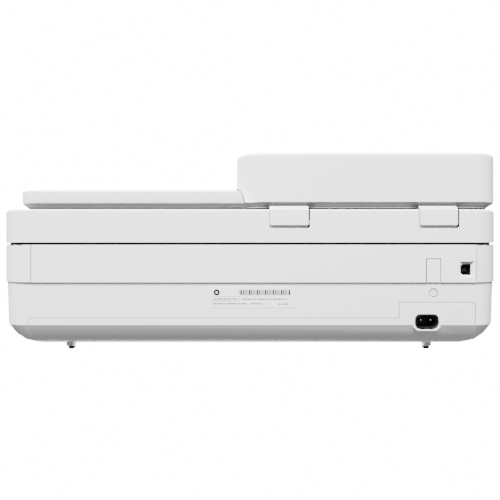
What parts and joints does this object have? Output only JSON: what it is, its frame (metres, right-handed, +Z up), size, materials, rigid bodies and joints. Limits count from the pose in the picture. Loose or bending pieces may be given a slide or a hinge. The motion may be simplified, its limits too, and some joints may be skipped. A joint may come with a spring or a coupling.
{
  "type": "inkjet printer",
  "caption": "White home all-in-one inkjet printer with flatbed scanner, hinged lid with document feeder, paper tray, print carriage and rear mains and USB sockets.",
  "frame": {"origin": "centre of the bounding box in plan, at the bottom of the foot pads", "axes": "+Z up, front faces -Y, rear with the sockets faces +Y, +X is to the right seen from the front and is the longest extent"},
  "size_m": [0.4326, 0.361, 0.173],
  "materials": {
    "white_shell": "fine satin texture",
    "dark_plastic": "satin",
    "grey_plastic": "satin",
    "gloss_black": "gloss",
    "steel": "brushed",
    "rubber": "matt",
    "glass": "clear",
    "label": "satin film",
    "board": "solder mask",
    "pad": "soft white film",
    "gear": "satin"
  },
  "bodies": {
    "base": {"base_pan": "white_shell", "lower_shell": "white_shell", "rear_panel": "white_shell", "side_panel_left": "white_shell", "side_panel_right": "white_shell", "mid_frame": "white_shell", "power_inlet": "gloss_black", "usb_socket": "gloss_black", "rating_label": "label", "foot_pad_rear_right": "rubber", "foot_pad_front_right": "rubber", "foot_pad_rear_left": "rubber", "foot_pad_front_left": "rubber", "chassis": "steel", "carriage_rail": "steel", "print_platen": "dark_plastic", "service_station": "dark_plastic", "carriage_belt": "rubber", "carriage_motor": "grey_plastic", "power_supply": "dark_plastic", "main_board": "board", "output_plate": "dark_plastic"},
    "power_button": {"power_button": "white_shell"},
    "wifi_button": {"wifi_button": "white_shell"},
    "carriage": {"carriage": "dark_plastic", "cartridge_black": "dark_plastic", "cartridge_colour": "dark_plastic"},
    "latch_black": {"latch_black": "grey_plastic"},
    "latch_colour": {"latch_colour": "grey_plastic"},
    "feed_roller": {"feed_roller": "rubber"},
    "idler_gear": {"idler_gear": "gear"},
    "exit_roller": {"exit_roller": "rubber"},
    "pick_arm": {"pick_arm": "dark_plastic"},
    "pick_roller": {"pick_roller": "rubber"},
    "paper_tray": {"paper_tray": "white_shell"},
    "width_guide_left": {"width_guide_left": "grey_plastic"},
    "width_guide_right": {"width_guide_right": "grey_plastic"},
    "length_guide": {"length_guide": "grey_plastic"},
    "output_extender": {"output_extender": "grey_plastic"},
    "scanner": {"scanner_shell": "white_shell", "top_bezel": "white_shell", "platen_glass": "glass", "adf_glass": "glass", "control_panel": "gloss_black"},
    "scan_bar": {"scan_bar": "dark_plastic"},
    "copy_button": {"copy_button": "grey_plastic"},
    "cancel_button": {"cancel_button": "grey_plastic"},
    "lid": {"lid_base": "white_shell", "backing_pad": "pad", "lid_plate": "white_shell", "adf_body": "white_shell", "adf_chute": "dark_plastic"},
    "adf_cover": {"adf_cover": "white_shell"},
    "adf_input_flap": {"adf_input_flap": "white_shell"},
    "adf_pick_roller": {"adf_pick_roller": "rubber"},
    "adf_feed_roller": {"adf_feed_roller": "rubber"},
    "adf_guide_front": {"adf_guide_front": "grey_plastic"},
    "adf_guide_rear": {"adf_guide_rear": "grey_plastic"}
  },
  "joints": [
    {"name": "scanner_hinge", "type": "hinge", "parent": "base", "child": "scanner", "pos_m": [0, 0.1745, 0.1148], "axis": [-1, 0, 0], "range_deg": [0, 40]},
    {"name": "lid_hinge", "type": "hinge", "parent": "scanner", "child": "lid", "pos_m": [0, 0.1765, 0.1132], "axis": [-1, 0, 0], "range_deg": [0, 80]},
    {"name": "adf_cover_hinge", "type": "hinge", "parent": "lid", "child": "adf_cover", "pos_m": [-0.2045, 0, 0.1711], "axis": [0, -1, 0], "range_deg": [0, 85]},
    {"name": "adf_flap_hinge", "type": "hinge", "parent": "lid", "child": "adf_input_flap", "pos_m": [0.0005, 0, 0.1711], "axis": [0, 1, 0], "range_deg": [0, 130]},
    {"name": "adf_pick_spin", "type": "hinge", "parent": "lid", "child": "adf_pick_roller", "pos_m": [-0.118, 0, 0.158], "axis": [0, 1, 0], "continuous": true},
    {"name": "adf_feed_spin", "type": "hinge", "parent": "lid", "child": "adf_feed_roller", "pos_m": [-0.15, 0, 0.158], "axis": [0, 1, 0], "continuous": true},
    {"name": "adf_guide_front_slide", "type": "slide", "parent": "lid", "child": "adf_guide_front", "axis": [0, 1, 0], "range_m": [0, 0.05]},
    {"name": "adf_guide_rear_slide", "type": "slide", "parent": "lid", "child": "adf_guide_rear", "axis": [0, -1, 0], "range_m": [0, 0.05]},
    {"name": "scan_bar_slide", "type": "slide", "parent": "scanner", "child": "scan_bar", "axis": [1, 0, 0], "range_m": [0, 0.325]},
    {"name": "copy_button_press", "type": "slide", "parent": "scanner", "child": "copy_button", "axis": [0, 1, 0], "range_m": [0, 0.0012], "stiffness_N_per_m": 600, "springref_m": -0.0005},
    {"name": "cancel_button_press", "type": "slide", "parent": "scanner", "child": "cancel_button", "axis": [0, 1, 0], "range_m": [0, 0.0012], "stiffness_N_per_m": 600, "springref_m": -0.0005},
    {"name": "power_button_press", "type": "slide", "parent": "base", "child": "power_button", "axis": [0, -1, 0], "range_m": [0, 0.0012], "stiffness_N_per_m": 600, "springref_m": -0.0005},
    {"name": "wifi_button_press", "type": "slide", "parent": "base", "child": "wifi_button", "axis": [0, -1, 0], "range_m": [0, 0.0012], "stiffness_N_per_m": 600, "springref_m": -0.0005},
    {"name": "carriage_slide", "type": "slide", "parent": "base", "child": "carriage", "axis": [-1, 0, 0], "range_m": [0, 0.295]},
    {"name": "latch_black_hinge", "type": "hinge", "parent": "carriage", "child": "latch_black", "pos_m": [0.143, 0.0665, 0.086], "axis": [-1, 0, 0], "range_deg": [0, 8]},
    {"name": "latch_colour_hinge", "type": "hinge", "parent": "carriage", "child": "latch_colour", "pos_m": [0.173, 0.0665, 0.086], "axis": [-1, 0, 0], "range_deg": [0, 8]},
    {"name": "feed_spin", "type": "hinge", "parent": "base", "child": "feed_roller", "pos_m": [0, 0.082, 0.052], "axis": [1, 0, 0], "continuous": true},
    {"name": "idler_spin", "type": "hinge", "parent": "base", "child": "idler_gear", "pos_m": [-0.2005, 0.05101, 0.05117], "axis": [1, 0, 0], "continuous": true},
    {"name": "exit_spin", "type": "hinge", "parent": "base", "child": "exit_roller", "pos_m": [0, 0.026, 0.0505], "axis": [1, 0, 0], "continuous": true},
    {"name": "pick_arm_lift", "type": "hinge", "parent": "base", "child": "pick_arm", "pos_m": [-0.012, 0.118, 0.04], "axis": [-1, 0, 0], "range_deg": [0, 5]},
    {"name": "pick_spin", "type": "hinge", "parent": "pick_arm", "child": "pick_roller", "pos_m": [-0.001, 0.088, 0.031], "axis": [1, 0, 0], "continuous": true},
    {"name": "tray_slide", "type": "slide", "parent": "base", "child": "paper_tray", "axis": [0, -1, 0], "range_m": [0, 0.2]},
    {"name": "width_guide_right_slide", "type": "slide", "parent": "paper_tray", "child": "width_guide_right", "axis": [-1, 0, 0], "range_m": [0, 0.055]},
    {"name": "width_guide_left_slide", "type": "slide", "parent": "paper_tray", "child": "width_guide_left", "axis": [1, 0, 0], "range_m": [0, 0.055]},
    {"name": "length_guide_slide", "type": "slide", "parent": "paper_tray", "child": "length_guide", "axis": [0, 1, 0], "range_m": [0, 0.085]},
    {"name": "extender_slide", "type": "slide", "parent": "base", "child": "output_extender", "axis": [0, -1, 0], "range_m": [0, 0.09]}
  ],
  "couplings": [
    {"joint": "adf_pick_spin", "follows": "adf_feed_spin", "ratio": 1},
    {"joint": "adf_guide_front_slide", "follows": "adf_guide_rear_slide", "ratio": 1},
    {"joint": "width_guide_left_slide", "follows": "width_guide_right_slide", "ratio": 1},
    {"joint": "idler_spin", "follows": "feed_spin", "ratio": -1.0667},
    {"joint": "exit_spin", "follows": "feed_spin", "ratio": 1.6}
  ]
}
